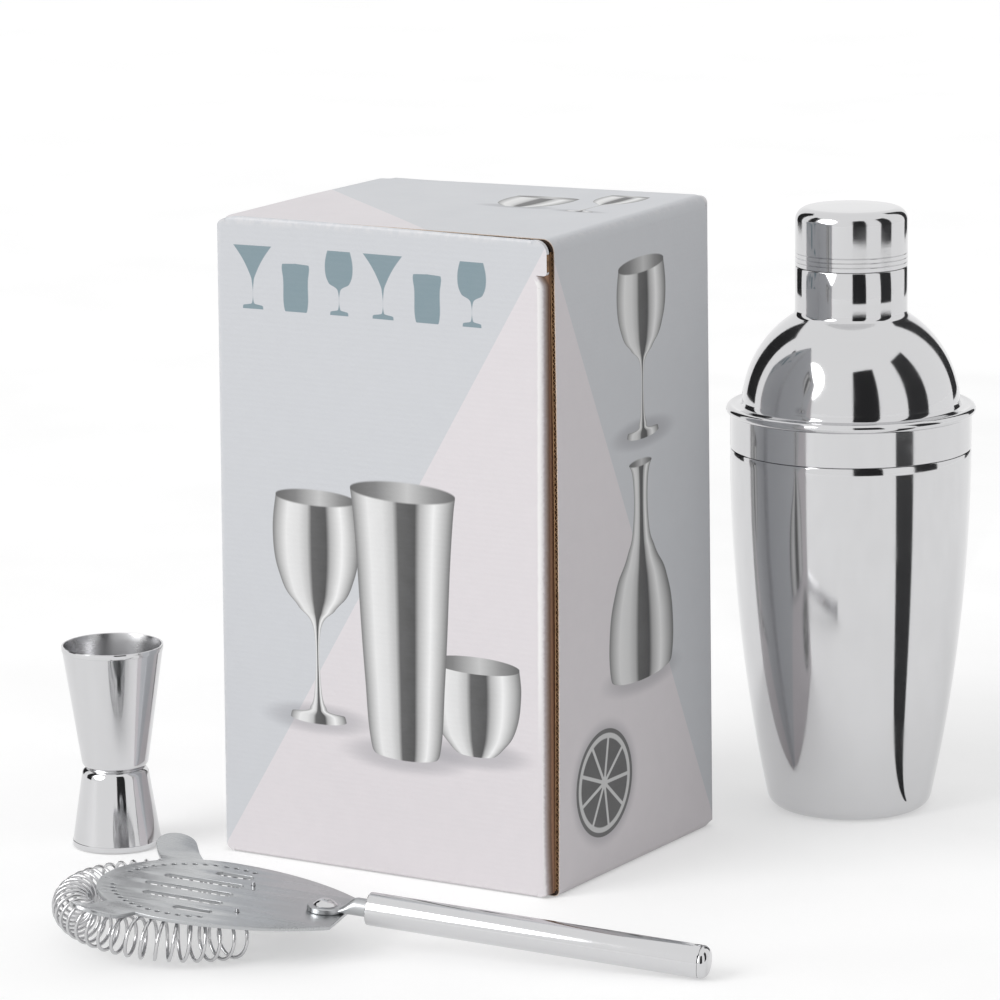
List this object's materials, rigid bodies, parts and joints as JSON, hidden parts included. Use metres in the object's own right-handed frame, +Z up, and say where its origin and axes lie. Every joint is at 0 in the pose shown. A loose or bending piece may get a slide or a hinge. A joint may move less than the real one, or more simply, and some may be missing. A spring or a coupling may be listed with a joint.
{
  "type": "cocktail shaker set",
  "caption": "Cocktail set with its tuck-top retail carton: cobbler shaker with built-in sieve, double-ended jigger and flat strainer with a coil spring.",
  "frame": {"origin": "centre of the carton's base, on the surface that the set stands on", "axes": "+X to the right along the carton's front, +Y to the back, +Z up"},
  "size_m": [0.2805, 0.3536, 0.225],
  "materials": {
    "printed_board": "matt printed outside on fine-fluted kraft board",
    "polished_steel": "mirror-polished stainless steel",
    "satin_steel": "fine satin stainless steel",
    "spring_steel": "bright drawn wire"
  },
  "bodies": {
    "carton": {"front_panel": "printed_board", "left_panel": "printed_board", "back_panel": "printed_board", "right_panel": "printed_board", "glue_flap": "printed_board", "bottom_panel": "printed_board", "bottom_tuck_flap": "printed_board", "bottom_front_flap": "printed_board", "bottom_back_flap": "printed_board"},
    "lid": {"lid_panel": "printed_board"},
    "tuck": {"tuck_flap": "printed_board"},
    "front_dust": {"front_dust_flap": "printed_board"},
    "back_dust": {"back_dust_flap": "printed_board"},
    "cup": {"shaker_cup": "polished_steel"},
    "top": {"strainer_top": "polished_steel"},
    "cap": {"shaker_cap": "polished_steel"},
    "jigger": {"jigger_large_cup": "polished_steel", "jigger_small_cup": "polished_steel"},
    "strainer": {"strainer_plate": "satin_steel", "coil_spring": "spring_steel", "handle_tang": "satin_steel", "tang_rivet": "satin_steel", "handle_tube": "polished_steel", "handle_end_plug": "polished_steel"}
  },
  "joints": [
    {"name": "lid_hinge", "type": "hinge", "parent": "carton", "child": "lid", "pos_m": [0.0657, 0, 0.2242], "axis": [0, 1, 0], "range_deg": [0, 180]},
    {"name": "tuck_fold", "type": "hinge", "parent": "lid", "child": "tuck", "pos_m": [-0.0635, 0, 0.2242], "axis": [0, 1, 0], "range_deg": [0, 18]},
    {"name": "front_dust_fold", "type": "hinge", "parent": "carton", "child": "front_dust", "pos_m": [0, -0.0552, 0.2242], "axis": [1, 0, 0], "range_deg": [0, 108]},
    {"name": "back_dust_fold", "type": "hinge", "parent": "carton", "child": "back_dust", "pos_m": [0, 0.0552, 0.2242], "axis": [-1, 0, 0], "range_deg": [0, 108]},
    {"name": "cup_lift", "type": "slide", "parent": "carton", "child": "cup", "axis": [0, 0, 1], "range_m": [0, 0.12]},
    {"name": "top_lift", "type": "slide", "parent": "cup", "child": "top", "axis": [0, 0, 1], "range_m": [0, 0.06]},
    {"name": "cap_lift", "type": "slide", "parent": "top", "child": "cap", "axis": [0, 0, 1], "range_m": [0, 0.04]},
    {"name": "jigger_lift", "type": "slide", "parent": "carton", "child": "jigger", "axis": [0, 0, 1], "range_m": [0, 0.1]},
    {"name": "strainer_lift", "type": "slide", "parent": "carton", "child": "strainer", "axis": [0, 0, 1], "range_m": [0, 0.1]}
  ],
  "couplings": [
    {"joint": "tuck_fold", "follows": "lid_hinge", "ratio": 0.1},
    {"joint": "front_dust_fold", "follows": "lid_hinge", "ratio": 0.6},
    {"joint": "back_dust_fold", "follows": "lid_hinge", "ratio": 0.6}
  ]
}
